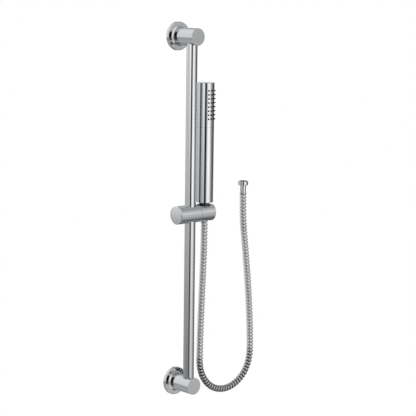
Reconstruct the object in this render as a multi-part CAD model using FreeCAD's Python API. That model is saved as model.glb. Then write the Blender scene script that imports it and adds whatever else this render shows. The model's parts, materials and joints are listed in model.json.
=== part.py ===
import FreeCAD, Part
import math
import os

# Slide-bar hand shower: a rail between two wall posts, a slider that runs on the rail,
# a tilting holder on the slider, a cylindrical hand shower standing in it, and its hose.
# Frame: origin at the centre of the lower wall face, +X along the wall away from the
# rail towards the hand shower, +Y into the wall, +Z up. All sizes are millimetres.

# Rail and posts
POST_SPACING = 620.0         # between the axes of the two wall posts
RAIL_OFFSET = 40.0           # from the wall to the rail's axis
RAIL_DIAMETER = 19.0
RAIL_WALL = 1.2
RAIL_ENTRY = 3.0             # how far the rail's end passes a post's axis
POST_DIAMETER = 30.0
POST_REACH = 56.0            # from the wall to the flat end of a post
POST_EDGE = 0.6              # rounding of that flat end
PLUG_HEAD = 1.0              # thickness of the head of a rail plug
PLUG_DEPTH = 9.0
PLUG_BORE = 10.0             # hole down the middle of a plug

# Wall flange and the bracket under it
FLANGE_DIAMETER = 50.0
FLANGE_THICKNESS = 6.0
FLANGE_EDGE = 1.0
FLANGE_WALL = 2.0
COLLAR_DIAMETER = 35.4       # foot of the bevelled ring round the post
COLLAR_HEIGHT = 1.4
BRACKET_DIAMETER = 42.0
BRACKET_PLATE = 3.0
SPIGOT_DIAMETER = 20.0
SPIGOT_MARGIN = 1.5          # spigot past the hole of the set screw
WALL_HOLE_SPACING = 30.0
WALL_HOLE_DIAMETER = 5.2
WALL_HOLE_SINK = 8.6         # countersink for a wall screw
SET_SCREW_DIAMETER = 5.0
SET_SCREW_LENGTH = 5.0
SET_SCREW_HEX = 2.5
SET_SCREW_HEX_DEPTH = 2.5
SET_SCREW_MARGIN = 8.0       # from the end of the flange to the hole of the set screw
SET_SCREW_SEAT = 0.8         # depth of the seat for its tip in the spigot

# Slider
SLIDER_HEIGHT = 310.0        # axis of the slider above the lower post's axis
SLIDER_DIAMETER = 32.0
SLIDER_LEFT = 33.0           # from the rail's axis to the flat left end
SEAM_OFFSET = 14.0           # from the rail's axis to the seam beside the holder
HOLDER_END = 48.0            # from the rail's axis to the flat right end
SLIDER_CHAMFER = 1.0
END_CAP_THICKNESS = 3.0
END_CAP_DOME = 0.4           # rise of the cap's slightly domed face
CAP_PLUG_LENGTH = 5.0
BRAKE_POCKET = 13.0          # bore for the pad and its spring
BRAKE_PAD_LENGTH = 8.0       # along the bore, from the rail's surface
DISC_COUNT = 6               # disc springs between the end cap and the pad
DISC_THICKNESS = 0.7
DISC_BORE = 6.4
BUSH_WALL = 1.5
BUSH_HEIGHT = 4.2
BUSH_TOP = 10.8              # outer face of a bush from the slider's axis
BUSH_SPLIT = 1.2
SWIVEL_WASHER = 0.4
PIVOT_DIAMETER = 6.0
PIVOT_HEAD = 10.0
PIVOT_HEAD_HEIGHT = 2.4
PIVOT_HEX = 4.0
PIVOT_HEX_DEPTH = 1.6
PIVOT_THREAD = 3.8           # length of the pivot screw inside the slider
SPRING_WASHER = 0.8
HOLDER_WALL = 4.4            # wall of the holder under the pivot screw's head

# Socket of the holder and the cone nut standing in it
HANDSET_OFFSET = 33.2        # from the rail's axis to the hand shower's axis
CONE_TOP_DIAMETER = 18.6
CONE_TAPER = 1.0             # radius lost down to the nut's lower end
CONE_BELOW = 13.0            # lower end of the cone nut below the slider's axis
LINER_WALL = 0.9
HOSE_SLOT = 13.6

# Hand shower
HANDSET_DIAMETER = 30.0
HANDSET_WALL = 1.6
HANDSET_LIFT = 18.5          # flat base above the slider's axis
HANDLE_LENGTH = 133.2
HEAD_LENGTH = 78.3
HEAD_TOP_WALL = 3.0
HEAD_EDGE = 0.8
HANDLE_BASE_WALL = 6.0
HEAD_SEAM = 0.3
NOZZLE_ROWS = 8
NOZZLE_COLUMNS = 5
NOZZLE_STEP = 20.5           # degrees between columns
NOZZLE_FIRST = 13.8          # first row below the top
NOZZLE_LAST = 14.8           # last row above the seam
NOZZLE_ROOT = 3.0
NOZZLE_TIP = 1.9
NOZZLE_REACH = 2.4
NOZZLE_HOLE_GAP = 0.1
STRIP_WALL = 1.4
STRIP_HALF_ANGLE = 58.0
STRIP_MARGIN = 5.0
CHAMBER_WALL = 1.6
CHAMBER_WINDOW = 44.0        # half angle of the window behind the nozzles
JOINT_BELOW = 9.0            # head joint below and above the seam
JOINT_ABOVE = 7.0
SEAL_SIZE = 2.0              # square section of the sealing ring
WATER_TUBE_DIAMETER = 10.0
WATER_TUBE_WALL = 1.0

# Threaded water connections
THREAD_DIAMETER = 15.0
THREAD_RELIEF = 0.3          # radial undercut round the washer in a nut
SPIGOT_THREAD_LENGTH = 10.0
CONNECTOR_FLANGE = 21.0
CONNECTOR_FLANGE_HEIGHT = 4.0
WATER_BORE = 8.0
HOSE_WASHER = 1.6
FERRULE_FLANGE = 1.2
FERRULE_FLANGE_DIAMETER = 14.0
SIEVE_THICKNESS = 0.6
SIEVE_HOLE = 1.6
SIEVE_HOLES = 6              # in one circle

# Hose and its free end
HOSE_DIAMETER = 12.5
HOSE_SINK = 2.0              # top of the hose above the underside of the holder
BEND_SHARE = 0.45            # part of a straight run taken by the bend at each end
FERRULE_DIAMETER = 10.6
FERRULE_LENGTH = 15.1
NUT_DIAMETER = 18.0
NUT_HEIGHT = 7.6
NUT_EDGE = 0.8

# Clearances
SLIDING_GAP = 0.05           # radial, between a bore and what turns or slides in it
PRESS_GAP = 0.02             # radial, between a bore and what is pressed into it
LOOSE_GAP = 0.3              # between pieces that must stay clear of each other

V = FreeCAD.Vector
ALONG_X = V(1, 0, 0)
ALONG_Y = V(0, 1, 0)
ALONG_Z = V(0, 0, 1)

rail_radius = RAIL_DIAMETER / 2
post_radius = POST_DIAMETER / 2
slider_radius = SLIDER_DIAMETER / 2
handset_radius = HANDSET_DIAMETER / 2
slider_centre = V(0, -RAIL_OFFSET, SLIDER_HEIGHT)
socket_centre = slider_centre + V(HANDSET_OFFSET, 0, 0)
holder_start = SEAM_OFFSET + SWIVEL_WASHER
base_height = SLIDER_HEIGHT + HANDSET_LIFT
seam_height = base_height + HANDLE_LENGTH
head_top = seam_height + HEAD_LENGTH
nozzle_pitch = (HEAD_LENGTH - NOZZLE_FIRST - NOZZLE_LAST) / (NOZZLE_ROWS - 1)
rail_bore_radius = rail_radius + LOOSE_GAP
bush_radius = rail_radius + SLIDING_GAP + BUSH_WALL
cone_radius = CONE_TOP_DIAMETER / 2
handset_bore = handset_radius - HANDSET_WALL
collar_end = FLANGE_THICKNESS + COLLAR_HEIGHT
set_screw_depth = collar_end + SET_SCREW_MARGIN + SET_SCREW_DIAMETER / 2
spigot_reach = set_screw_depth + SET_SCREW_DIAMETER / 2 + SPIGOT_MARGIN

# The hose's route in the rail's plane: (X, Z) of each corner, from the holder's
# socket down, round the free loop and up to the ferrule of the outlet nut.
HOSE_ROUTE = [
    (HANDSET_OFFSET, SLIDER_HEIGHT - SLIDER_DIAMETER / 2 + HOSE_SINK),
    (HANDSET_OFFSET, 246.0),
    (30.6, 188.0),
    (27.8, 122.0),
    (26.2, 66.0),
    (25.8, 24.5),
    (43.0, -5.6),
    (72.0, -22.2),
    (104.5, -22.0),
    (133.0, -6.0),
    (150.4, 23.0),
    (150.0, 66.0),
    (146.6, 124.0),
    (140.6, 184.0),
    (133.2, 242.0),
    (126.4, 292.0),
    (126.4, 337.0),
]


def cylinder(radius, start, axis, length):
    return Part.makeCylinder(radius, length, start, axis)


def ring(outer, inner, start, axis, length):
    return cylinder(outer, start, axis, length).cut(cylinder(inner, start, axis, length))


def cone(radius_1, radius_2, start, axis, length):
    return Part.makeCone(radius_1, radius_2, length, start, axis)


def hexagon(across_flats, start, axis, length):
    """Six-sided prism, for wrench sockets."""
    radius = across_flats / 2 / math.cos(math.pi / 6)
    side = V(0, 1, 0) if abs(axis.x) > 0.5 else V(1, 0, 0)
    other = axis.cross(side)
    corners = []
    for i in range(7):
        turn = i * math.pi / 3
        corners.append(start + side * (radius * math.cos(turn)) + other * (radius * math.sin(turn)))
    return Part.Face(Part.makePolygon(corners)).extrude(axis * length)


def turned(profile, origin, axis, radial):
    """Solid of revolution. A profile point is (along, radius), or (along, radius,
    mid_along, mid_radius) where an arc through the middle point leads to it."""
    def place(along, radius):
        return origin + axis * along + radial * radius

    edges = []
    last = place(profile[-1][0], profile[-1][1])
    for point in profile:
        here = place(point[0], point[1])
        if len(point) == 4:
            edges.append(Part.Arc(last, place(point[2], point[3]), here).toShape())
        else:
            edges.append(Part.LineSegment(last, here).toShape())
        last = here
    return Part.Face(Part.Wire(edges)).revolve(origin, axis, 360)


def round_mid(centre, radius, degrees):
    """Point of a profile's corner arc, for the middle point of that arc."""
    turn = math.radians(degrees)
    return (centre[0] + radius * math.cos(turn), centre[1] + radius * math.sin(turn))


def rail_tube():
    start = V(0, -RAIL_OFFSET, -RAIL_ENTRY)
    length = POST_SPACING + 2 * RAIL_ENTRY
    return ring(rail_radius, rail_radius - RAIL_WALL, start, ALONG_Z, length)


def rail_plug(direction, end_height):
    """Hollow plug that closes one end of the rail inside its post."""
    start = V(0, -RAIL_OFFSET, end_height)
    head = cylinder(rail_radius - SLIDING_GAP, start, direction, PLUG_HEAD)
    shank_radius = rail_radius - RAIL_WALL - PRESS_GAP
    shank = cylinder(shank_radius, start, direction * -1, PLUG_DEPTH)
    bore = cylinder(PLUG_BORE / 2, start - direction * PLUG_DEPTH, direction, PLUG_DEPTH)
    return head.fuse(shank).cut(bore)


def wall_post(height, inward):
    """Turned post: flat front end, blind hole for the rail, bore for the bracket."""
    tip = POST_REACH
    edge = POST_EDGE
    mid = round_mid((tip - edge, post_radius - edge), edge, 45)
    profile = [
        (BRACKET_PLATE, 0),
        (BRACKET_PLATE, post_radius),
        (tip - edge, post_radius),
        (tip, post_radius - edge, mid[0], mid[1]),
        (tip, 0),
    ]
    centre = V(0, 0, height)
    body = turned(profile, centre, ALONG_Y * -1, ALONG_X)
    depth = RAIL_ENTRY + PLUG_HEAD + SLIDING_GAP
    rail_start = V(0, -RAIL_OFFSET, height) - inward * depth
    body = body.cut(cylinder(rail_radius + PRESS_GAP, rail_start, inward, depth + POST_DIAMETER))
    bore_radius = SPIGOT_DIAMETER / 2 + SLIDING_GAP
    body = body.cut(cylinder(bore_radius, centre, ALONG_Y * -1, spigot_reach + LOOSE_GAP))
    screw_start = V(0, -set_screw_depth, height)
    return body.cut(cylinder(SET_SCREW_DIAMETER / 2, screw_start, ALONG_Z * -1, POST_DIAMETER))


def wall_flange(height):
    """Cover disc with a bevelled ring where the post comes out of it."""
    disc = FLANGE_THICKNESS
    rim = FLANGE_DIAMETER / 2
    edge = FLANGE_EDGE
    bore = post_radius + SLIDING_GAP
    rim_mid = round_mid((disc - edge, rim - edge), edge, 45)
    cavity = rim - FLANGE_WALL
    profile = [
        (0, cavity),
        (0, rim),
        (disc - edge, rim),
        (disc, rim - edge, rim_mid[0], rim_mid[1]),
        (disc, COLLAR_DIAMETER / 2),
        (collar_end, bore + PRESS_GAP),
        (collar_end, bore),
        (disc - FLANGE_WALL, bore),
        (disc - FLANGE_WALL, cavity),
    ]
    return turned(profile, V(0, 0, height), ALONG_Y * -1, ALONG_X)


def wall_bracket(height):
    """Plate screwed to the wall, with the spigot that carries the post."""
    centre = V(0, 0, height)
    plate = cylinder(BRACKET_DIAMETER / 2, centre, ALONG_Y * -1, BRACKET_PLATE)
    body = plate.fuse(cylinder(SPIGOT_DIAMETER / 2, centre, ALONG_Y * -1, spigot_reach))
    front = V(0, -BRACKET_PLATE, height)
    sink_depth = (WALL_HOLE_SINK - WALL_HOLE_DIAMETER) / 2
    for side in (-1, 1):
        shift = ALONG_X * (side * WALL_HOLE_SPACING / 2)
        body = body.cut(cylinder(WALL_HOLE_DIAMETER / 2, front + shift, ALONG_Y, BRACKET_PLATE))
        sink = cone(WALL_HOLE_SINK / 2, WALL_HOLE_DIAMETER / 2, front + shift, ALONG_Y, sink_depth)
        body = body.cut(sink)
    seat = V(0, -set_screw_depth, height - SPIGOT_DIAMETER / 2)
    return body.cut(cylinder(SET_SCREW_DIAMETER / 2, seat, ALONG_Z, SET_SCREW_SEAT))


def set_screw(height):
    """Socket set screw that holds the post on its spigot, reached from below."""
    tip = V(0, -set_screw_depth, height - SPIGOT_DIAMETER / 2 + SET_SCREW_SEAT)
    body = cylinder(SET_SCREW_DIAMETER / 2 - PRESS_GAP, tip, ALONG_Z * -1, SET_SCREW_LENGTH)
    socket_start = tip - ALONG_Z * SET_SCREW_LENGTH
    return body.cut(hexagon(SET_SCREW_HEX, socket_start, ALONG_Z, SET_SCREW_HEX_DEPTH))


def slide_bush(side):
    """Split plastic ring in a groove of the slider, running on the rail."""
    low = BUSH_TOP - BUSH_HEIGHT if side > 0 else -BUSH_TOP
    start = slider_centre + ALONG_Z * low
    body = ring(bush_radius, rail_radius + SLIDING_GAP, start, ALONG_Z, BUSH_HEIGHT)
    split_corner = start + V(0, -BUSH_SPLIT / 2, 0)
    return body.cut(Part.makeBox(2 * bush_radius, BUSH_SPLIT, BUSH_HEIGHT, split_corner))


def slider_barrel():
    """Clamp part of the slider: rail bore, bush grooves, brake pocket and end recess."""
    left = -SLIDER_LEFT
    chamfer = SLIDER_CHAMFER
    profile = [
        (left, 0),
        (left, slider_radius - chamfer),
        (left + chamfer, slider_radius),
        (SEAM_OFFSET, slider_radius),
        (SEAM_OFFSET, 0),
    ]
    body = turned(profile, slider_centre, ALONG_X, ALONG_Z)
    low = slider_centre - ALONG_Z * SLIDER_DIAMETER
    body = body.cut(cylinder(rail_bore_radius, low, ALONG_Z, 2 * SLIDER_DIAMETER))
    groove_radius = bush_radius + SLIDING_GAP
    groove_height = BUSH_HEIGHT + 2 * SLIDING_GAP
    for side in (-1, 1):
        base = BUSH_TOP + SLIDING_GAP - groove_height if side > 0 else -BUSH_TOP - SLIDING_GAP
        body = body.cut(cylinder(groove_radius, slider_centre + ALONG_Z * base, ALONG_Z, groove_height))
    end = slider_centre + ALONG_X * left
    body = body.cut(cylinder(slider_radius - chamfer, end, ALONG_X, END_CAP_THICKNESS))
    body = body.cut(cylinder(BRAKE_POCKET / 2, end, ALONG_X, SLIDER_LEFT))
    thread = slider_centre + ALONG_X * rail_radius
    return body.cut(cylinder(PIVOT_DIAMETER / 2, thread, ALONG_X, SEAM_OFFSET))


def slider_end_cap():
    """Slightly domed disc with the threaded plug that presses the disc springs."""
    end = slider_centre - ALONG_X * SLIDER_LEFT
    radius = slider_radius - SLIDER_CHAMFER - SLIDING_GAP
    dome = END_CAP_DOME
    curve = (radius ** 2 + dome ** 2) / (2 * dome)
    half_turn = math.asin(radius / curve) / 2
    profile = [
        (END_CAP_THICKNESS, 0),
        (END_CAP_THICKNESS, radius),
        (dome, radius),
        (0, 0, curve * (1 - math.cos(half_turn)), curve * math.sin(half_turn)),
    ]
    disc = turned(profile, end, ALONG_X, ALONG_Z)
    plug_start = end + ALONG_X * (END_CAP_THICKNESS / 2)
    plug_length = END_CAP_THICKNESS / 2 + CAP_PLUG_LENGTH
    return disc.fuse(cylinder(BRAKE_POCKET / 2 - PRESS_GAP, plug_start, ALONG_X, plug_length))


def brake_pad():
    """Pad with a hollow face that the spring presses on the rail."""
    length = rail_radius + BRAKE_PAD_LENGTH
    body = cylinder(BRAKE_POCKET / 2 - SLIDING_GAP, slider_centre, ALONG_X * -1, length)
    low = slider_centre - ALONG_Z * SLIDER_DIAMETER
    return body.cut(cylinder(rail_radius + SLIDING_GAP, low, ALONG_Z, 2 * SLIDER_DIAMETER))


def brake_spring():
    """Stack of disc springs between the end cap's plug and the brake pad."""
    first = -SLIDER_LEFT + END_CAP_THICKNESS + CAP_PLUG_LENGTH
    last = -rail_radius - BRAKE_PAD_LENGTH
    pitch = (last - first) / DISC_COUNT
    tall = pitch - PRESS_GAP
    rise = tall - DISC_THICKNESS
    outer = BRAKE_POCKET / 2 - SLIDING_GAP
    inner = DISC_BORE / 2
    discs = []
    for i in range(DISC_COUNT):
        start = slider_centre + ALONG_X * (first + i * pitch + PRESS_GAP / 2)
        outer_low = rise if i % 2 else 0
        inner_low = rise - outer_low
        profile = [
            (inner_low, inner),
            (outer_low, outer),
            (outer_low + DISC_THICKNESS, outer),
            (inner_low + DISC_THICKNESS, inner),
        ]
        discs.append(turned(profile, start, ALONG_X, ALONG_Z))
    return Part.makeCompound(discs)


def swivel_washer():
    """Thin friction washer between the slider and the tilting holder."""
    start = slider_centre + ALONG_X * SEAM_OFFSET
    inner = PIVOT_DIAMETER / 2 + SLIDING_GAP
    return ring(slider_radius - SLIDER_CHAMFER, inner, start, ALONG_X, SWIVEL_WASHER)


def pivot_screw():
    """Screw that holds the holder to the slider; its axis is the tilt axis."""
    seat = holder_start + HOLDER_WALL + SPRING_WASHER
    foot = SEAM_OFFSET - PIVOT_THREAD
    start = slider_centre + ALONG_X * foot
    shank = cylinder(PIVOT_DIAMETER / 2 - PRESS_GAP, start, ALONG_X, seat - foot)
    head_start = slider_centre + ALONG_X * seat
    head = cylinder(PIVOT_HEAD / 2, head_start, ALONG_X, PIVOT_HEAD_HEIGHT)
    socket_start = head_start + ALONG_X * (PIVOT_HEAD_HEIGHT - PIVOT_HEX_DEPTH)
    return shank.fuse(head).cut(hexagon(PIVOT_HEX, socket_start, ALONG_X, PIVOT_HEX_DEPTH))


def spring_washer():
    """Washer under the pivot screw's head that keeps the holder tight."""
    start = slider_centre + ALONG_X * (holder_start + HOLDER_WALL)
    inner = PIVOT_DIAMETER / 2 + SLIDING_GAP
    return ring(PIVOT_HEAD / 2, inner, start, ALONG_X, SPRING_WASHER)


def socket_cone(extra):
    """Tapered plug of the cone nut's outside, grown by a wall or a clearance."""
    top = slider_radius + LOOSE_GAP
    slope = CONE_TAPER / (top + CONE_BELOW)
    height = top + slider_radius
    low_radius = cone_radius - slope * height + extra
    low = socket_centre - ALONG_Z * slider_radius
    return cone(low_radius, cone_radius + extra, low, ALONG_Z, height)


def hose_slot():
    """Way out of the socket for the hose, open at the holder's right end."""
    corner = socket_centre + V(0, -HOSE_SLOT / 2, -SLIDER_DIAMETER)
    return Part.makeBox(HOLDER_END, HOSE_SLOT, 2 * SLIDER_DIAMETER, corner)


def handset_holder():
    """Tilting part of the slider with the tapered, slotted socket."""
    chamfer = SLIDER_CHAMFER
    profile = [
        (holder_start, 0),
        (holder_start, slider_radius),
        (HOLDER_END - chamfer, slider_radius),
        (HOLDER_END, slider_radius - chamfer),
        (HOLDER_END, 0),
    ]
    body = turned(profile, slider_centre, ALONG_X, ALONG_Z)
    body = body.cut(socket_cone(SLIDING_GAP + LINER_WALL + PRESS_GAP))
    body = body.cut(hose_slot())
    start = slider_centre + ALONG_X * holder_start
    room = HANDSET_OFFSET - holder_start
    body = body.cut(cylinder(PIVOT_DIAMETER / 2 + SLIDING_GAP, start, ALONG_X, room))
    recess = start + ALONG_X * HOLDER_WALL
    recess_radius = PIVOT_HEAD / 2 + LOOSE_GAP
    return body.cut(cylinder(recess_radius, recess, ALONG_X, room - HOLDER_WALL))


def socket_liner():
    """Slotted plastic lining of the socket, cut to the holder's round outside."""
    body = socket_cone(SLIDING_GAP + LINER_WALL).cut(socket_cone(SLIDING_GAP))
    body = body.cut(hose_slot())
    outside = cylinder(slider_radius - SLIDING_GAP, slider_centre, ALONG_X, HOLDER_END)
    return body.common(outside)


def handset_handle():
    """Tube of the hand shower, closed at its flat base."""
    start = V(socket_centre.x, socket_centre.y, base_height)
    body = cylinder(handset_radius, start, ALONG_Z, HANDLE_LENGTH)
    inside = start + ALONG_Z * HANDLE_BASE_WALL
    body = body.cut(cylinder(handset_bore, inside, ALONG_Z, HANDLE_LENGTH))
    return body.cut(cylinder(THREAD_DIAMETER / 2 + PRESS_GAP, start, ALONG_Z, HANDLE_BASE_WALL))


def inlet_connector():
    """Threaded spigot through the handle's base, with a flange inside."""
    low = V(socket_centre.x, socket_centre.y, base_height - SPIGOT_THREAD_LENGTH)
    spigot_length = SPIGOT_THREAD_LENGTH + HANDLE_BASE_WALL
    body = cylinder(THREAD_DIAMETER / 2, low, ALONG_Z, spigot_length)
    flange_start = low + ALONG_Z * spigot_length
    body = body.fuse(cylinder(CONNECTOR_FLANGE / 2, flange_start, ALONG_Z, CONNECTOR_FLANGE_HEIGHT))
    body = body.cut(cylinder(WATER_BORE / 2, low, ALONG_Z, spigot_length + CONNECTOR_FLANGE_HEIGHT))
    depth = CONNECTOR_FLANGE_HEIGHT / 2
    pocket_radius = WATER_TUBE_DIAMETER / 2 + PRESS_GAP
    return body.cut(cylinder(pocket_radius, flange_start + ALONG_Z * depth, ALONG_Z, depth))


def water_tube():
    """Plastic tube that carries water up the handle to the head."""
    low = base_height + HANDLE_BASE_WALL + CONNECTOR_FLANGE_HEIGHT / 2
    start = V(socket_centre.x, socket_centre.y, low)
    radius = WATER_TUBE_DIAMETER / 2
    return ring(radius, radius - WATER_TUBE_WALL, start, ALONG_Z, seam_height - low)


def head_joint():
    """Plug that joins the head to the handle, grooved for the sealing ring."""
    start = V(socket_centre.x, socket_centre.y, seam_height - JOINT_BELOW)
    outer = handset_bore - PRESS_GAP
    body = cylinder(outer, start, ALONG_Z, JOINT_BELOW + JOINT_ABOVE)
    body = body.cut(cylinder(WATER_TUBE_DIAMETER / 2 + PRESS_GAP, start, ALONG_Z, JOINT_BELOW))
    body = body.cut(cylinder(WATER_BORE / 2, start, ALONG_Z, JOINT_BELOW + JOINT_ABOVE))
    groove = start + ALONG_Z * (JOINT_BELOW / 2 - SEAL_SIZE / 2)
    return body.cut(ring(handset_radius, outer - SEAL_SIZE, groove, ALONG_Z, SEAL_SIZE))


def head_seal_ring():
    """Square rubber ring in the groove of the head joint."""
    height = SEAL_SIZE - 2 * PRESS_GAP
    low = seam_height - JOINT_BELOW / 2 - height / 2
    outer = handset_bore - PRESS_GAP
    start = V(socket_centre.x, socket_centre.y, low)
    return ring(outer, outer - SEAL_SIZE + PRESS_GAP, start, ALONG_Z, height)


def nozzle_places():
    """Height and direction of every nozzle; column 0 degrees faces the room."""
    places = []
    for row in range(NOZZLE_ROWS):
        height = head_top - NOZZLE_FIRST - row * nozzle_pitch
        for column in range(NOZZLE_COLUMNS):
            turn = (column - (NOZZLE_COLUMNS - 1) / 2) * NOZZLE_STEP
            direction = V(math.sin(math.radians(turn)), -math.cos(math.radians(turn)), 0)
            places.append((height, direction))
    return places


def spray_head():
    """Shell of the head: closed flat top and a hole for each nozzle."""
    low = seam_height + HEAD_SEAM
    edge = HEAD_EDGE
    mid = round_mid((head_top - edge, handset_radius - edge), edge, 45)
    profile = [
        (low, handset_bore),
        (low, handset_radius),
        (head_top - edge, handset_radius),
        (head_top, handset_radius - edge, mid[0], mid[1]),
        (head_top, 0),
        (head_top - HEAD_TOP_WALL, 0),
        (head_top - HEAD_TOP_WALL, handset_bore),
    ]
    axis_point = V(socket_centre.x, socket_centre.y, 0)
    body = turned(profile, axis_point, ALONG_Z, ALONG_X)
    hole_radius = NOZZLE_ROOT / 2 + NOZZLE_HOLE_GAP
    for height, direction in nozzle_places():
        start = axis_point + V(0, 0, height) + direction * (handset_bore - HANDSET_WALL)
        body = body.cut(cylinder(hole_radius, start, direction, 3 * HANDSET_WALL))
    return body


def sector(outer, inner, low, height, half_angle):
    """Upright piece of a round wall, centred on the spray direction."""
    centre = V(socket_centre.x, socket_centre.y, low)

    def place(radius, turn):
        angle = math.radians(turn)
        return centre + V(radius * math.sin(angle), -radius * math.cos(angle), 0)

    edges = [
        Part.Arc(place(outer, -half_angle), place(outer, 0), place(outer, half_angle)).toShape(),
        Part.LineSegment(place(outer, half_angle), place(inner, half_angle)).toShape(),
        Part.Arc(place(inner, half_angle), place(inner, 0), place(inner, -half_angle)).toShape(),
        Part.LineSegment(place(inner, -half_angle), place(outer, -half_angle)).toShape(),
    ]
    return Part.Face(Part.Wire(edges)).extrude(ALONG_Z * height)


def nozzle_block():
    """Height of the lowest point of the nozzle strip, and its length."""
    length = (NOZZLE_ROWS - 1) * nozzle_pitch + 2 * STRIP_MARGIN
    return head_top - NOZZLE_FIRST + STRIP_MARGIN - length, length


def nozzle_strip():
    """Rubber strip behind the spray face with all its nozzles."""
    low, length = nozzle_block()
    outer = handset_bore - SLIDING_GAP
    body = sector(outer, outer - STRIP_WALL, low, length, STRIP_HALF_ANGLE)
    root_start = outer - STRIP_WALL / 2
    length_out = handset_radius + NOZZLE_REACH - root_start
    profile = [(0, 0), (0, NOZZLE_ROOT / 2), (length_out, NOZZLE_TIP / 2), (length_out, 0)]
    nozzles = []
    for height, direction in nozzle_places():
        start = V(socket_centre.x, socket_centre.y, height) + direction * root_start
        nozzles.append(turned(profile, start, direction, ALONG_Z))
    return body.fuse(nozzles)


def spray_chamber():
    """Plastic water chamber behind the nozzle strip, open towards the nozzles."""
    outer = handset_bore - SLIDING_GAP - STRIP_WALL - SLIDING_GAP
    low = seam_height + JOINT_ABOVE
    height = head_top - HEAD_TOP_WALL - low
    start = V(socket_centre.x, socket_centre.y, low)
    body = cylinder(outer, start, ALONG_Z, height)
    body = body.cut(cylinder(outer - CHAMBER_WALL, start, ALONG_Z, height - CHAMBER_WALL))
    strip_low, strip_length = nozzle_block()
    window_low = strip_low + CHAMBER_WALL
    window_height = strip_length - 2 * CHAMBER_WALL
    window = sector(handset_radius, CHAMBER_WALL, window_low, window_height, CHAMBER_WINDOW)
    return body.cut(window)


def cone_nut():
    """Tapered hose nut that stands in the socket and screws on the connector."""
    low = socket_centre.z - CONE_BELOW
    start = V(socket_centre.x, socket_centre.y, low)
    top = slider_radius + LOOSE_GAP
    profile = [
        (0, FERRULE_DIAMETER / 2 + SLIDING_GAP),
        (0, cone_radius - CONE_TAPER),
        (CONE_BELOW + top, cone_radius),
        (CONE_BELOW + HANDSET_LIFT, cone_radius),
        (CONE_BELOW + HANDSET_LIFT, THREAD_DIAMETER / 2 + PRESS_GAP),
        (nut_shoulder() - low, THREAD_DIAMETER / 2 + PRESS_GAP),
        (nut_shoulder() - low, FERRULE_DIAMETER / 2 + SLIDING_GAP),
    ]
    return turned(profile, start, ALONG_Z, ALONG_X)


def nut_shoulder():
    """Height of the shoulder in the cone nut that the ferrule's flange sits on."""
    return base_height - SPIGOT_THREAD_LENGTH - HOSE_WASHER - FERRULE_FLANGE


def inlet_ferrule():
    """Hose end fitting inside the cone nut, cut to the holder's round underside."""
    low = socket_centre.z - slider_radius
    start = V(socket_centre.x, socket_centre.y, low)
    length = nut_shoulder() - low
    body = cylinder(FERRULE_DIAMETER / 2, start, ALONG_Z, length)
    flange_start = start + ALONG_Z * length
    body = body.fuse(cylinder(FERRULE_FLANGE_DIAMETER / 2, flange_start, ALONG_Z, FERRULE_FLANGE))
    body = body.cut(cylinder(WATER_BORE / 2, start, ALONG_Z, length + FERRULE_FLANGE))
    outside = cylinder(slider_radius - SLIDING_GAP, slider_centre, ALONG_X, HOLDER_END)
    return body.common(outside)


def inlet_washer():
    """Rubber washer between the ferrule and the hand shower's spigot."""
    start = V(socket_centre.x, socket_centre.y, nut_shoulder() + FERRULE_FLANGE)
    return ring(FERRULE_FLANGE_DIAMETER / 2, WATER_BORE / 2, start, ALONG_Z, HOSE_WASHER)


def inlet_sieve():
    """Round sieve plate in the mouth of the connector's bore."""
    start = V(socket_centre.x, socket_centre.y, base_height - SPIGOT_THREAD_LENGTH)
    body = cylinder(WATER_BORE / 2 - PRESS_GAP, start, ALONG_Z, SIEVE_THICKNESS)
    circle = WATER_BORE / 4
    for i in range(SIEVE_HOLES):
        turn = i * 2 * math.pi / SIEVE_HOLES
        shift = V(circle * math.cos(turn), circle * math.sin(turn), 0)
        body = body.cut(cylinder(SIEVE_HOLE / 2, start + shift, ALONG_Z, SIEVE_THICKNESS))
    return body


def route_points():
    return [V(x, -RAIL_OFFSET, z) for x, z in HOSE_ROUTE]


def hose_path(points):
    """Straight runs joined by tangent arcs, each as large as its two runs allow."""
    edges = []
    radii = []
    here = points[0]
    for before, corner, after in zip(points, points[1:], points[2:]):
        run_in = corner - before
        run_out = after - corner
        turn = run_in.getAngle(run_out)
        reach = BEND_SHARE * min(run_in.Length, run_out.Length)
        way_in = FreeCAD.Vector(run_in).normalize()
        way_out = FreeCAD.Vector(run_out).normalize()
        radius = reach / math.tan(turn / 2)
        arc_start = corner - way_in * reach
        arc_end = corner + way_out * reach
        inward = (way_out - way_in).normalize()
        centre = corner + inward * (radius / math.cos(turn / 2))
        middle = centre - inward * radius
        edges.append(Part.LineSegment(here, arc_start).toShape())
        edges.append(Part.Arc(arc_start, middle, arc_end).toShape())
        radii.append(radius)
        here = arc_end
    edges.append(Part.LineSegment(here, points[-1]).toShape())
    return Part.Wire(edges), radii


def hose():
    """Metal hose from the holder's socket to the ferrule of the outlet nut."""
    points = route_points()
    path, radii = hose_path(points)
    section = Part.Wire(Part.makeCircle(HOSE_DIAMETER / 2, points[0], ALONG_Z * -1))
    body = path.makePipeShell([section], True, False)
    area = math.pi * HOSE_DIAMETER ** 2 / 4
    print("hose radii", [round(radius) for radius in radii])
    ratio = body.Volume / area / path.Length
    print("hose length", round(path.Length, 1), "volume ratio", round(ratio, 5))
    low = slider_centre - ALONG_X * SLIDER_LEFT
    room = slider_radius + LOOSE_GAP
    return body.cut(cylinder(room, low, ALONG_X, SLIDER_LEFT + HOLDER_END))


def outlet_start():
    x, z = HOSE_ROUTE[-1]
    return V(x, -RAIL_OFFSET, z)


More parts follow.
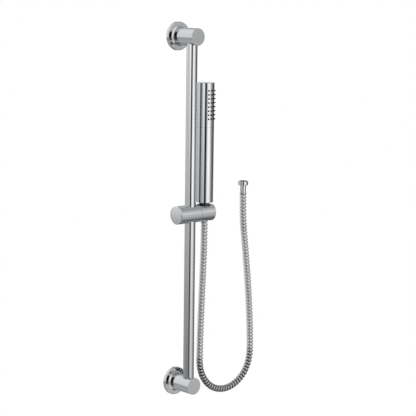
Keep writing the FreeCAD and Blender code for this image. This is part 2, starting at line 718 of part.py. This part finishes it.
def outlet_ferrule():
    """Collar pressed on the hose's free end, with the flange inside its nut."""
    start = outlet_start()
    body = cylinder(FERRULE_DIAMETER / 2, start, ALONG_Z, FERRULE_LENGTH + FERRULE_FLANGE)
    flange_start = start + ALONG_Z * (FERRULE_LENGTH + SLIDING_GAP)
    flange_height = FERRULE_FLANGE - SLIDING_GAP
    body = body.fuse(cylinder(FERRULE_FLANGE_DIAMETER / 2, flange_start, ALONG_Z, flange_height))
    return body.cut(cylinder(WATER_BORE / 2, start, ALONG_Z, FERRULE_LENGTH + FERRULE_FLANGE))


def outlet_nut():
    """Smooth round nut that turns on the ferrule and screws on the water outlet."""
    low = FERRULE_LENGTH - FERRULE_FLANGE
    top = low + NUT_HEIGHT
    radius = NUT_DIAMETER / 2
    thread = THREAD_DIAMETER / 2
    hole = FERRULE_DIAMETER / 2 + SLIDING_GAP
    profile = [
        (low, hole),
        (low, radius - NUT_EDGE),
        (low + NUT_EDGE, radius),
        (top - NUT_EDGE, radius),
        (top, radius - NUT_EDGE),
        (top, thread),
        (FERRULE_LENGTH + FERRULE_FLANGE + HOSE_WASHER, thread),
        (FERRULE_LENGTH + FERRULE_FLANGE + HOSE_WASHER, thread + THREAD_RELIEF),
        (FERRULE_LENGTH, thread + THREAD_RELIEF),
        (FERRULE_LENGTH, hole),
    ]
    return turned(profile, outlet_start(), ALONG_Z, ALONG_X)


def outlet_washer():
    """Rubber washer in the outlet nut."""
    start = outlet_start() + ALONG_Z * (FERRULE_LENGTH + FERRULE_FLANGE)
    return ring(FERRULE_FLANGE_DIAMETER / 2, WATER_BORE / 2, start, ALONG_Z, HOSE_WASHER)


def all_nodes():
    up = ALONG_Z
    down = ALONG_Z * -1
    return {
        "rail_tube": rail_tube(),
        "lower_rail_plug": rail_plug(down, -RAIL_ENTRY),
        "upper_rail_plug": rail_plug(up, POST_SPACING + RAIL_ENTRY),
        "lower_post": wall_post(0, up),
        "upper_post": wall_post(POST_SPACING, down),
        "lower_flange": wall_flange(0),
        "upper_flange": wall_flange(POST_SPACING),
        "lower_wall_bracket": wall_bracket(0),
        "upper_wall_bracket": wall_bracket(POST_SPACING),
        "lower_set_screw": set_screw(0),
        "upper_set_screw": set_screw(POST_SPACING),
        "lower_slide_bush": slide_bush(-1),
        "upper_slide_bush": slide_bush(1),
        "slider_barrel": slider_barrel(),
        "slider_end_cap": slider_end_cap(),
        "brake_pad": brake_pad(),
        "brake_spring": brake_spring(),
        "swivel_washer": swivel_washer(),
        "pivot_screw": pivot_screw(),
        "pivot_spring_washer": spring_washer(),
        "handset_holder": handset_holder(),
        "socket_liner": socket_liner(),
        "handset_handle": handset_handle(),
        "inlet_connector": inlet_connector(),
        "inlet_sieve": inlet_sieve(),
        "water_tube": water_tube(),
        "head_joint": head_joint(),
        "head_seal_ring": head_seal_ring(),
        "spray_head": spray_head(),
        "nozzle_strip": nozzle_strip(),
        "spray_chamber": spray_chamber(),
        "cone_nut": cone_nut(),
        "inlet_ferrule": inlet_ferrule(),
        "inlet_washer": inlet_washer(),
        "hose": hose(),
        "outlet_ferrule": outlet_ferrule(),
        "outlet_nut": outlet_nut(),
        "outlet_washer": outlet_washer(),
    }


def main():
    os.makedirs("parts", exist_ok=True)
    for name, shape in all_nodes().items():
        shape.exportStep("parts/" + name + ".step")
        volume = round(shape.Volume, 1)
        print(name, "solids", len(shape.Solids), "valid", shape.isValid(), "volume", volume)


main()
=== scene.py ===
import json
import math

import bpy
import numpy as np
from mathutils import Matrix, Vector


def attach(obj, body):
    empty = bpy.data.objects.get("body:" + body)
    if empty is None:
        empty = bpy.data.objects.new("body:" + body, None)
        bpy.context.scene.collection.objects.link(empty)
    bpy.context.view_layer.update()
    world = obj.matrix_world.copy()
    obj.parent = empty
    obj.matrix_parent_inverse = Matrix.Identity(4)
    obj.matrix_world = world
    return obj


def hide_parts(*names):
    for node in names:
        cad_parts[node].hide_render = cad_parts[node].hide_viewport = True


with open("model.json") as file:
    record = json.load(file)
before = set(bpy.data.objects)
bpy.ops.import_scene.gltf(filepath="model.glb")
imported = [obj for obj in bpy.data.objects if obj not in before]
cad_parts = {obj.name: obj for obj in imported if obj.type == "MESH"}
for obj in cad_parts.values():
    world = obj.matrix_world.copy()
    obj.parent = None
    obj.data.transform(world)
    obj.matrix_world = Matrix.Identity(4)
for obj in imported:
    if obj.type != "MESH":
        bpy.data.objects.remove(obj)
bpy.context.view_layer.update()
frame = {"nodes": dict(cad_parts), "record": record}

# Looks of the slide-bar hand shower. Metres, in the CAD's frame: origin at the centre of
# the lower wall face, +X towards the hand shower, +Y into the wall, +Z up.

RAIL_OFFSET = 0.040            # from the wall to the rail's axis
HANDSET_OFFSET = 0.0332        # from the rail's axis to the hand shower's axis
SLIDER_HEIGHT = 0.310
END_FACE = -0.033              # X of the slider's end face
FERRULE_LOW = 0.337            # lower end of the ferrule on the hose's free end

AT_POINT = 1e-5                # how near a vertex is to a place to count as there

# Camera of the photograph
CAMERA_PLACE = (-1.66130, -1.94857, 0.70985)
CAMERA_AZIMUTH = math.radians(-41.74385)
CAMERA_PITCH = math.radians(-8.74102)
CAMERA_ROLL = math.radians(0.75071)
CAMERA_LENS = 125.92
SENSOR_WIDTH = 36.0

# Hose
HOSE_DIAMETER = 0.0125
HOSE_PITCH = 0.00607           # along the hose, from one ridge to the next
HOSE_SIDES = 36
HOSE_STEPS = 48                # steps of the centre line from one point of the route to the next
HEADING_STEP = 0.0008          # half the stretch over which the line's direction is taken
BEND_STEP = 0.002              # half the stretch over which its bend is taken
HOSE_BEAD = 0.42               # half the bead's width, as a share of the pitch
HOSE_TIGHT_BEND = 0.065        # radius of a tight bend
# Painted shade on the hose: its colour is darkened down in the groove and, in a tight bend, on the
# beads too, where the beads shade one another
HOSE_STRAIGHT_SHADE = 0.12     # groove's darkness in a straight run, as a share of a tight bend's
HOSE_BEND_SHADE = 0.34         # darkness of the beads themselves in a tight bend
HOSE_BEAD_COLOUR = (0.68, 0.685, 0.69, 1.0)
# Colour of that painted shade, near black
HOSE_PAINTED_SHADE_COLOUR = (0.03, 0.03, 0.031, 1.0)
# One bead of the wound strip: share of the pitch, share of the outer radius, groove depth from
# 0 on the bead to 1 in the groove, which sets how much painted shade darkens the colour there
HOSE_RIDGE = [
    (0.000, 0.600, 1.00),
    (0.040, 0.610, 1.00),
    (0.080, 0.640, 1.00),
    (0.097, 0.740, 0.80),
    (0.130, 0.812, 0.50),
    (0.185, 0.878, 0.25),
    (0.248, 0.928, 0.10),
    (0.332, 0.969, 0.00),
    (0.416, 0.992, 0.00),
    (0.500, 0.998, 0.00),
    (0.584, 0.992, 0.00),
    (0.668, 0.969, 0.00),
    (0.752, 0.928, 0.10),
    (0.815, 0.878, 0.25),
    (0.870, 0.812, 0.50),
    (0.903, 0.740, 0.80),
    (0.920, 0.640, 1.00),
    (0.960, 0.610, 1.00),
]
# (X, Z) of the route's points, in the rail's plane, as in the part's source
HOSE_ROUTE = [
    (HANDSET_OFFSET, 0.296),
    (HANDSET_OFFSET, 0.246),
    (0.0306, 0.188),
    (0.0278, 0.122),
    (0.0262, 0.066),
    (0.0258, 0.0245),
    (0.0430, -0.0056),
    (0.0720, -0.0222),
    (0.1045, -0.0220),
    (0.1330, -0.0060),
    (0.1504, 0.0230),
    (0.1500, 0.0660),
    (0.1466, 0.1240),
    (0.1406, 0.1840),
    (0.1332, 0.2420),
    (0.1264, 0.2920),
    (0.1264, FERRULE_LOW),
]

# Studio: light level of the surroundings by height above the horizon and compass direction,
# both in degrees: soft panels with dark gaps between them. The levels started from estimates
# made from the photograph's brightness across the hand shower and at a few other places, and
# were then changed by hand in trial renders.
STUDIO = [
    (-50.0, [
        (-180, 0.28), (-150, 0.30), (-142, 0.28), (-140, 0.04), (-121, 0.04), (-110, 0.50),
        (-99, 0.80), (-80, 0.85), (-66, 0.60), (-56, 0.26), (-44, 0.18), (-20, 0.15),
        (-4, 0.09), (40, 0.04), (70, 0.18), (90, 0.40),
    ]),
    (-36.0, [
        (-180, 0.30), (-150, 0.32), (-142, 0.30), (-140, 0.03), (-121, 0.03), (-110, 0.50),
        (-99, 0.85), (-80, 0.98), (-66, 0.74), (-54, 0.48), (-38, 0.38), (-22, 0.24),
        (-8, 0.11), (40, 0.05), (60, 0.30), (90, 0.46), (120, 0.50), (140, 0.42), (160, 0.36),
    ]),
    (-20.0, [
        (-180, 0.27), (-150, 0.26), (-142, 0.26), (-140, 0.13), (-121, 0.14), (-111, 0.40),
        (-103, 0.68), (-86, 0.86), (-72, 0.76), (-58, 0.56), (-48, 0.50), (-37, 0.40),
        (-19, 0.14), (0, 0.04), (50, 0.04), (75, 0.28), (90, 0.42), (110, 0.46), (130, 0.44),
        (140, 0.38), (155, 0.30),
    ]),
    (-16.0, [
        (-180, 0.26), (-150, 0.26), (-142, 0.24), (-140, 0.12), (-121, 0.13), (-112, 0.36),
        (-103, 0.70), (-86, 0.82), (-72, 0.75), (-58, 0.58), (-48, 0.58), (-37, 0.43),
        (-19, 0.14), (0, 0.04), (50, 0.04), (75, 0.26), (90, 0.38), (110, 0.42), (130, 0.40),
        (140, 0.34), (155, 0.28),
    ]),
    (-12.5, [
        (-180, 0.42), (-155, 0.42), (-142, 0.40), (-140, 0.05), (-121, 0.05), (-112, 0.42),
        (-104, 0.82), (-86, 0.96), (-72, 0.84), (-60, 0.66), (-48, 0.54), (-37, 0.38),
        (-19, 0.14), (0, 0.04), (50, 0.04), (75, 0.24), (90, 0.34), (110, 0.42), (130, 0.42),
        (142, 0.42), (160, 0.40),
    ]),
    (-7.0, [
        (-180, 0.66), (-160, 0.68), (-150, 0.73), (-142, 0.72), (-140, 0.02), (-121, 0.02),
        (-112, 0.50), (-104, 0.98), (-99, 1.20), (-86, 1.42), (-72, 1.30), (-60, 0.92),
        (-54, 0.70), (-46, 0.46), (-37, 0.31), (-19, 0.17), (-4, 0.11), (10, 0.06), (55, 0.06),
        (70, 0.25), (87, 0.42), (100, 0.60), (115, 0.70), (132, 0.68), (145, 0.64), (162, 0.64),
    ]),
    (-3.0, [
        (-180, 0.80), (-170, 1.00), (-160, 1.42), (-150, 1.10), (-142, 0.80), (-140, 0.02),
        (-121, 0.02), (-112, 0.52), (-104, 1.00), (-99, 1.15), (-86, 1.30), (-72, 1.08),
        (-58, 0.70), (-50, 0.54), (-40, 0.34), (-24, 0.18), (-8, 0.12), (10, 0.07), (52, 0.07),
        (70, 0.35), (87, 0.50), (100, 0.78), (118, 0.94), (132, 0.84), (155, 0.72),
    ]),
    (6.0, [
        (-180, 0.80), (-165, 1.00), (-150, 1.00), (-142, 0.78), (-140, 0.02), (-121, 0.02),
        (-112, 0.55), (-103, 1.10), (-80, 1.25), (-60, 0.90), (-48, 0.74), (-37, 0.55),
        (-20, 0.25), (0, 0.16), (18, 0.30), (30, 0.74), (64, 0.78), (76, 0.70), (90, 0.80),
        (115, 0.94), (135, 0.88), (160, 0.76),
    ]),
    (14.0, [
        (-180, 0.80), (-160, 1.10), (-145, 0.80), (-142, 0.76), (-140, 0.02), (-121, 0.02),
        (-112, 0.58), (-103, 1.10), (-80, 1.25), (-60, 0.90), (-49, 0.74), (-37, 0.60),
        (-20, 0.30), (0, 0.20), (18, 0.28), (30, 0.64), (64, 0.68), (76, 0.60), (90, 0.80),
        (115, 0.92), (135, 0.88), (160, 0.78),
    ]),
    (18.0, [
        (-180, 0.80), (-160, 1.00), (-145, 0.80), (-142, 0.76), (-140, 0.02), (-121, 0.02),
        (-112, 0.60), (-103, 1.05), (-80, 1.20), (-60, 0.90), (-49, 0.68), (-37, 0.58),
        (-20, 0.34), (0, 0.24), (40, 0.20), (62, 0.30), (75, 0.60), (90, 0.80), (115, 0.92),
        (135, 0.88), (160, 0.78),
    ]),
    (45.0, [
        (-180, 0.90), (-155, 0.95), (-142, 0.80), (-140, 0.04), (-121, 0.04), (-110, 0.70),
        (-100, 1.00), (-80, 1.05), (-64, 0.80), (-52, 0.48), (-24, 0.34), (10, 0.50),
        (37, 0.45), (60, 0.70), (90, 0.95), (120, 0.98), (150, 0.95),
    ]),
    (68.0, [
        (-180, 0.40), (-142, 0.20), (-121, 0.20), (-99, 0.60), (-74, 0.60), (-40, 0.26),
        (40, 0.26), (90, 0.40), (140, 0.44),
    ]),
]
STUDIO_SPAN = 1.50             # brightness that a ramp's white stands for
STUDIO_GAIN = 1.226            # makes up for the share of light that chrome swallows
STUDIO_TINT = (0.995, 1.0, 1.008, 1.0)

# Noise in the materials: the values that it mostly stays between, and the scale of its clouds
NOISE_LOW = 0.3
NOISE_HIGH = 0.7
METAL_CLOUDS = 18.0
SOFT_CLOUDS = 60.0
FLOOR_CLOUDS = 3.0

FLOOR_HEIGHT = -0.345
FLOOR_RADIUS = 0.9
FLOOR_SIDES = 96
FLOOR_GLOW = 0.72              # lifts the floor to the white round it, for the camera alone


def hose_line():
    """Points along the hose's centre line, from the NURBS spline of its route."""
    data = bpy.data.curves.new("hose_line", "CURVE")
    data.dimensions = "3D"
    data.resolution_u = HOSE_STEPS
    spline = data.splines.new("NURBS")
    spline.points.add(len(HOSE_ROUTE) - 1)
    for point, (x, z) in zip(spline.points, HOSE_ROUTE):
        point.co = (x, -RAIL_OFFSET, z, 1.0)
    spline.order_u = 3
    spline.use_endpoint_u = True
    holder = bpy.data.objects.new("hose_line", data)
    bpy.context.scene.collection.objects.link(holder)
    bpy.context.view_layer.update()
    mesh = bpy.data.meshes.new_from_object(holder)
    line = np.array([v.co for v in mesh.vertices], float)
    bpy.data.objects.remove(holder)
    return line


def along(line, distances):
    """Places and directions at these distances along a line of points, and its length."""
    steps = np.linalg.norm(np.diff(line, axis=0), axis=1)
    run = np.concatenate([[0.0], np.cumsum(steps)])
    places = np.stack([np.interp(distances, run, line[:, k]) for k in range(3)], axis=1)
    ahead, behind = (
        np.stack([np.interp(distances + step, run, line[:, k]) for k in range(3)], axis=1)
        for step in (HEADING_STEP, -HEADING_STEP)
    )
    heading = ahead - behind
    heading /= np.linalg.norm(heading, axis=1)[:, None]
    return places, heading, run[-1]


def mesh_object(name, vertices, faces, material):
    """A smooth-shaded mesh in the scene."""
    mesh = bpy.data.meshes.new(name)
    mesh.from_pydata([tuple(v) for v in vertices], [], faces)
    mesh.materials.append(material)
    mesh.polygons.foreach_set("use_smooth", [True] * len(mesh.polygons))
    mesh.update()
    piece = bpy.data.objects.new(name, mesh)
    bpy.context.scene.collection.objects.link(piece)
    return piece


def strip_faces(columns, count):
    """Faces of a helical strip of count points a column, closed on the turn beside it."""
    faces = []
    for c in range(columns - 1):
        for i in range(count - 1):
            a = c * count + i
            faces.append((a, a + 1, a + count + 1, a + count))
        if c + HOSE_SIDES + 1 < columns:
            a = c * count + count - 1
            b = (c + HOSE_SIDES) * count
            faces.append((a, b, b + count, a + count))
    return faces


def wound_hose(material):
    """The hose's wound metal strip and its centre line: one bead that runs round the line as a
    helix. In a bend the bead keeps its width, so that the groove opens outside and closes
    inside."""
    line = hose_line()
    total = along(line, np.array([0.0]))[2]
    turns = math.ceil(total / HOSE_PITCH) + 1
    columns = turns * HOSE_SIDES + 1
    shares = np.array([r[0] for r in HOSE_RIDGE])
    radii = np.array([r[1] for r in HOSE_RIDGE]) * HOSE_DIAMETER / 2
    groove_shade = np.array([r[2] for r in HOSE_RIDGE])
    count = len(HOSE_RIDGE)
    side = np.array([0.0, 1.0, 0.0])
    column = np.arange(columns)
    turn = column * 2 * math.pi / HOSE_SIDES
    crest = np.clip((column / HOSE_SIDES - 0.5) * HOSE_PITCH, 0.0, total)
    ahead = along(line, np.clip(crest + BEND_STEP, 0.0, total))[1]
    behind = along(line, np.clip(crest - BEND_STEP, 0.0, total))[1]
    bending = (ahead - behind) / (2 * BEND_STEP)
    inward = np.sum(np.cross(along(line, crest)[1], side) * bending, axis=1)
    # Painted shade, stored for the colour: the groove is darkened, weakly in a straight run and
    # fully in a tight bend, and in a tight bend the beads too, where the beads shade one another
    bend = np.clip(np.abs(inward) * HOSE_TIGHT_BEND, 0.0, 1.0)[:, None]
    shade = HOSE_STRAIGHT_SHADE + (1.0 - HOSE_STRAIGHT_SHADE) * bend
    shade = shade * groove_shade + HOSE_BEND_SHADE * bend * (1.0 - groove_shade)
    stretch = 1.0 - inward * np.cos(turn) * HOSE_DIAMETER / 2
    offset = shares - 0.5
    bead = np.clip(offset, -HOSE_BEAD, HOSE_BEAD)[None, :] / stretch[:, None]
    open_end = np.sign(offset)[None, :] * (0.5 - HOSE_BEAD / stretch)[:, None]
    past_bead = np.clip(np.abs(offset) - HOSE_BEAD, 0.0, None) / (0.5 - HOSE_BEAD)
    gap = open_end * past_bead[None, :]
    distance = np.clip((crest[:, None] + (bead + gap) * HOSE_PITCH).ravel(), 0.0, total)
    places, heading, _ = along(line, distance)
    across = np.cross(heading, side)
    angle = np.repeat(turn, count)
    radius = np.tile(radii, columns)
    out = across * np.cos(angle)[:, None] + side[None, :] * np.sin(angle)[:, None]
    vertices = places + out * radius[:, None]
    piece = mesh_object("hose_strip", vertices, strip_faces(columns, count), material)
    # This point attribute carries that painted shade to the material
    groove = piece.data.attributes.new("groove", "FLOAT", "POINT")
    groove.data.foreach_set("value", shade.ravel().astype(np.float32))
    return piece, line


def new_material(name):
    """A material with its node tree, and its main shader."""
    material = bpy.data.materials.new(name)
    material.use_nodes = True
    return material, material.node_tree, material.node_tree.nodes["Principled BSDF"]


def noise(tree, scale, stretch=(1.0, 1.0, 1.0), detail=2.0):
    """Noise in the object's own space, with its own stretch."""
    place = tree.nodes.new("ShaderNodeTexCoord")
    mapping = tree.nodes.new("ShaderNodeMapping")
    mapping.inputs["Scale"].default_value = stretch
    texture = tree.nodes.new("ShaderNodeTexNoise")
    texture.inputs["Scale"].default_value = scale
    texture.inputs["Detail"].default_value = detail
    tree.links.new(place.outputs["Object"], mapping.inputs["Vector"])
    tree.links.new(mapping.outputs["Vector"], texture.inputs["Vector"])
    return texture.outputs["Fac"]


def spread(tree, source, low, high, start=NOISE_LOW, stop=NOISE_HIGH):
    """A value from low to high, as the source goes from start to stop."""
    node = tree.nodes.new("ShaderNodeMapRange")
    node.inputs["From Min"].default_value = start
    node.inputs["From Max"].default_value = stop
    node.inputs["To Min"].default_value = low
    node.inputs["To Max"].default_value = high
    tree.links.new(source, node.inputs["Value"])
    return node.outputs["Result"]


def two_tone(tree, source, dark, light):
    """A colour from dark to light, as a noise goes through its values."""
    ramp = tree.nodes.new("ShaderNodeValToRGB")
    ramp.color_ramp.elements[0].position = NOISE_LOW
    ramp.color_ramp.elements[0].color = (*dark, 1.0)
    ramp.color_ramp.elements[1].position = NOISE_HIGH
    ramp.color_ramp.elements[1].color = (*light, 1.0)
    tree.links.new(source, ramp.inputs["Fac"])
    return ramp.outputs["Color"]


def bumped(tree, shader, source, strength, distance):
    """Roughens a shader's surface with a height."""
    bump = tree.nodes.new("ShaderNodeBump")
    bump.inputs["Strength"].default_value = strength
    bump.inputs["Distance"].default_value = distance
    tree.links.new(source, bump.inputs["Height"])
    tree.links.new(bump.outputs["Normal"], shader.inputs["Normal"])


def metal(
    name,
    dark,
    light,
    roughness,
    grain,
    stretch=(1.0, 1.0, 1.0),
    strength=0.1,
    distance=0.00002,
):
    """A metal whose colour, gloss and surface vary a little."""
    material, tree, shader = new_material(name)
    shader.inputs["Metallic"].default_value = 1.0
    cloud = noise(tree, METAL_CLOUDS)
    tree.links.new(two_tone(tree, cloud, dark, light), shader.inputs["Base Color"])
    fine = noise(tree, grain, stretch, detail=4.0)
    tree.links.new(spread(tree, fine, *roughness), shader.inputs["Roughness"])
    bumped(tree, shader, fine, strength, distance)
    return material


def soft(name, dark, light, roughness, grain, strength=0.2, distance=0.00004):
    """Rubber or plastic with a fine grain."""
    material, tree, shader = new_material(name)
    cloud = noise(tree, SOFT_CLOUDS)
    tree.links.new(two_tone(tree, cloud, dark, light), shader.inputs["Base Color"])
    fine = noise(tree, grain, detail=3.0)
    tree.links.new(spread(tree, fine, *roughness), shader.inputs["Roughness"])
    bumped(tree, shader, fine, strength, distance)
    return material


def hose_metal():
    """Polished strip with painted shade: darker in the groove and on the beads of a tight bend."""
    material, tree, shader = new_material("hose_metal")
    shader.inputs["Metallic"].default_value = 1.0
    groove_shade = tree.nodes.new("ShaderNodeAttribute")
    groove_shade.attribute_name = "groove"
    # Painted shade: the colour runs from the bead's own metal to near black as the stored shade
    # rises
    colour = tree.nodes.new("ShaderNodeValToRGB")
    colour.color_ramp.elements[0].position = 0.0
    colour.color_ramp.elements[0].color = HOSE_BEAD_COLOUR
    colour.color_ramp.elements[1].position = 1.0
    colour.color_ramp.elements[1].color = HOSE_PAINTED_SHADE_COLOUR
    tree.links.new(groove_shade.outputs["Fac"], colour.inputs["Fac"])
    tree.links.new(colour.outputs["Color"], shader.inputs["Base Color"])
    fine = noise(tree, scale=900.0, detail=3.0)
    tree.links.new(spread(tree, fine, low=0.28, high=0.33), shader.inputs["Roughness"])
    bumped(tree, shader, fine, strength=0.03, distance=0.000005)
    return material


CHROME = metal(
    "polished_chrome",
    dark=(0.545, 0.553, 0.562),
    light=(0.567, 0.575, 0.584),
    roughness=(0.02, 0.05),
    grain=500.0,
    stretch=(1, 1, 0.2),
    strength=0.02,
    distance=0.000005,
)
SATIN = metal(
    "satin_chrome",
    dark=(0.62, 0.632, 0.644),
    light=(0.652, 0.665, 0.677),
    roughness=(0.12, 0.17),
    grain=1400.0,
    stretch=(1, 0.25, 1),
    strength=0.1,
    distance=0.000005,
)
STEEL = metal(
    "bracket_steel",
    dark=(0.52, 0.52, 0.53),
    light=(0.64, 0.64, 0.65),
    roughness=(0.30, 0.42),
    grain=1200.0,
    stretch=(1, 1, 0.1),
    strength=0.3,
)
BRASS = metal(
    "yellow_brass",
    dark=(0.68, 0.50, 0.22),
    light=(0.78, 0.59, 0.28),
    roughness=(0.18, 0.30),
    grain=1500.0,
    stretch=(1, 1, 6),
    strength=0.3,
)
HOSE_METAL = hose_metal()
NYLON = soft(
    "black_nylon",
    dark=(0.018, 0.018, 0.019),
    light=(0.030, 0.030, 0.031),
    roughness=(0.38, 0.52),
    grain=1800.0,
)
PLASTIC = soft(
    "white_plastic",
    dark=(0.74, 0.74, 0.72),
    light=(0.80, 0.80, 0.78),
    roughness=(0.32, 0.44),
    grain=900.0,
)
NOZZLE_RUBBER = soft(
    "nozzle_rubber",
    dark=(0.045, 0.048, 0.045),
    light=(0.075, 0.078, 0.074),
    roughness=(0.42, 0.58),
    grain=1600.0,
)
SEAL_RUBBER = soft(
    "seal_rubber",
    dark=(0.014, 0.014, 0.015),
    light=(0.024, 0.024, 0.025),
    roughness=(0.50, 0.64),
    grain=2000.0,
)

MATERIAL_OF = {
    "polished_chrome": CHROME,
    "satin_chrome": SATIN,
    "bracket_steel": STEEL,
    "yellow_brass": BRASS,
    "hose_metal": HOSE_METAL,
    "black_nylon": NYLON,
    "white_plastic": PLASTIC,
    "nozzle_rubber": NOZZLE_RUBBER,
    "seal_rubber": SEAL_RUBBER,
}


def dress_nodes():
    """Gives every CAD node the material of its slot."""
    slots = {part["node"]: part["material_slot"] for part in frame["record"]["subparts"]}
    for name, node in frame["nodes"].items():
        node.data.materials.clear()
        node.data.materials.append(MATERIAL_OF[slots[name]])


def mend_end_cap():
    """Gives the middle of the slider's end face its own normal, where the mesh has a stray one."""
    mesh = frame["nodes"]["slider_end_cap"].data
    normals = [corner.vector.copy() for corner in mesh.corner_normals]
    middle = {
        vertex.index
        for vertex in mesh.vertices
        if vertex.co.x < END_FACE + AT_POINT
        and math.hypot(vertex.co.y + RAIL_OFFSET, vertex.co.z - SLIDER_HEIGHT) < AT_POINT
    }
    for loop in mesh.loops:
        if loop.vertex_index in middle:
            normals[loop.index] = Vector((-1.0, 0.0, 0.0))
    for face in mesh.polygons:
        if middle.intersection(face.vertices):
            face.use_smooth = False
    mesh.normals_split_custom_set(normals)


def camera():
    """The photograph's camera."""
    ahead = Vector((
        -math.sin(CAMERA_AZIMUTH) * math.cos(CAMERA_PITCH),
        math.cos(CAMERA_AZIMUTH) * math.cos(CAMERA_PITCH),
        math.sin(CAMERA_PITCH),
    ))
    level = Vector((math.cos(CAMERA_AZIMUTH), math.sin(CAMERA_AZIMUTH), 0.0))
    above = level.cross(ahead)
    right = level * math.cos(CAMERA_ROLL) + above * math.sin(CAMERA_ROLL)
    up = above * math.cos(CAMERA_ROLL) - level * math.sin(CAMERA_ROLL)
    data = bpy.data.cameras.new("camera")
    data.lens = CAMERA_LENS
    data.sensor_width = SENSOR_WIDTH
    seen_from = bpy.data.objects.new("camera", data)
    turn = Matrix((right, up, -ahead)).transposed()
    seen_from.matrix_world = Matrix.Translation(CAMERA_PLACE) @ turn.to_4x4()
    bpy.context.scene.collection.objects.link(seen_from)
    bpy.context.scene.camera = seen_from


def floor():
    """A round pale floor that keeps a soft shadow."""
    angles = [2 * math.pi * k / FLOOR_SIDES for k in range(FLOOR_SIDES)]
    ring = [
        (FLOOR_RADIUS * math.cos(angle), FLOOR_RADIUS * math.sin(angle), FLOOR_HEIGHT)
        for angle in angles
    ]
    material, tree, shader = new_material("floor")
    cloud = noise(tree, FLOOR_CLOUDS)
    pale = two_tone(tree, cloud, (0.50, 0.50, 0.50), (0.52, 0.52, 0.52))
    tree.links.new(pale, shader.inputs["Base Color"])
    shader.inputs["Roughness"].default_value = 0.9
    shader.inputs["Specular IOR Level"].default_value = 0.0
    path = tree.nodes.new("ShaderNodeLightPath")
    shader.inputs["Emission Color"].default_value = (1.0, 1.0, 1.0, 1.0)
    lift = spread(tree, path.outputs["Is Camera Ray"], 0.0, FLOOR_GLOW, 0.0, 1.0)
    tree.links.new(lift, shader.inputs["Emission Strength"])
    clear = tree.nodes.new("ShaderNodeBsdfTransparent")
    mix = tree.nodes.new("ShaderNodeMixShader")
    tree.links.new(path.outputs["Is Glossy Ray"], mix.inputs["Fac"])
    tree.links.new(shader.outputs["BSDF"], mix.inputs[1])
    tree.links.new(clear.outputs["BSDF"], mix.inputs[2])
    tree.links.new(mix.outputs["Shader"], tree.nodes["Material Output"].inputs["Surface"])
    piece = mesh_object("floor", ring, [tuple(range(FLOOR_SIDES))], material)


def studio_row(tree, turn, levels):
    """Brightness all round at one height, from a list of (compass direction, level)."""
    row = tree.nodes.new("ShaderNodeValToRGB")
    elements = row.color_ramp.elements
    stops = [*levels, (180.0, levels[0][1])]
    while len(elements) < len(stops):
        elements.new(1.0)
    for element, (degrees, level) in zip(elements, stops):
        element.position = (degrees + 180.0) / 360.0
        shade = level / STUDIO_SPAN
        element.color = (shade, shade, shade, 1.0)
    tree.links.new(turn, row.inputs["Fac"])
    return row.outputs["Color"]


def mixed(tree, share, first, second, blend="MIX"):
    """Two colours mixed by a share."""
    mix = tree.nodes.new("ShaderNodeMix")
    mix.data_type = "RGBA"
    mix.blend_type = blend
    if share is None:
        mix.inputs["Factor"].default_value = 1.0
    else:
        tree.links.new(share, mix.inputs["Factor"])
    tree.links.new(first, mix.inputs["A"])
    if isinstance(second, tuple):
        mix.inputs["B"].default_value = second
    else:
        tree.links.new(second, mix.inputs["B"])
    return mix.outputs["Result"]


def studio():
    """Surroundings of soft panels and dark gaps, white where the camera sees them."""
    world = bpy.data.worlds.new("studio")
    bpy.context.scene.world = world
    world.use_nodes = True
    tree = world.node_tree
    tree.nodes.clear()
    place = tree.nodes.new("ShaderNodeTexCoord")
    split = tree.nodes.new("ShaderNodeSeparateXYZ")
    tree.links.new(place.outputs["Generated"], split.inputs["Vector"])
    compass = tree.nodes.new("ShaderNodeMath")
    compass.operation = "ARCTAN2"
    tree.links.new(split.outputs["Y"], compass.inputs[0])
    tree.links.new(split.outputs["X"], compass.inputs[1])
    turn = spread(tree, compass.outputs["Value"], 0.0, 1.0, -math.pi, math.pi)
    heights = [math.sin(math.radians(height)) for height, _ in STUDIO]
    colour = studio_row(tree, turn, STUDIO[0][1])
    for low, high, (_, levels) in zip(heights, heights[1:], STUDIO[1:]):
        share = spread(tree, split.outputs["Z"], 0.0, 1.0, low, high)
        colour = mixed(tree, share, colour, studio_row(tree, turn, levels))
    colour = mixed(tree, None, colour, STUDIO_TINT, "MULTIPLY")
    room = tree.nodes.new("ShaderNodeBackground")
    tree.links.new(colour, room.inputs["Color"])
    room.inputs["Strength"].default_value = STUDIO_SPAN * STUDIO_GAIN
    white = tree.nodes.new("ShaderNodeBackground")
    white.inputs["Color"].default_value = (1.0, 1.0, 1.0, 1.0)
    path = tree.nodes.new("ShaderNodeLightPath")
    mix = tree.nodes.new("ShaderNodeMixShader")
    tree.links.new(path.outputs["Is Camera Ray"], mix.inputs["Fac"])
    tree.links.new(room.outputs["Background"], mix.inputs[1])
    tree.links.new(white.outputs["Background"], mix.inputs[2])
    out = tree.nodes.new("ShaderNodeOutputWorld")
    tree.links.new(mix.outputs["Shader"], out.inputs["Surface"])


dress_nodes()
mend_end_cap()
camera()
floor()
studio()
bpy.context.scene.view_settings.view_transform = "Standard"

hose, hose_centre = wound_hose(HOSE_METAL)
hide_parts("hose")
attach(hose, "slider")
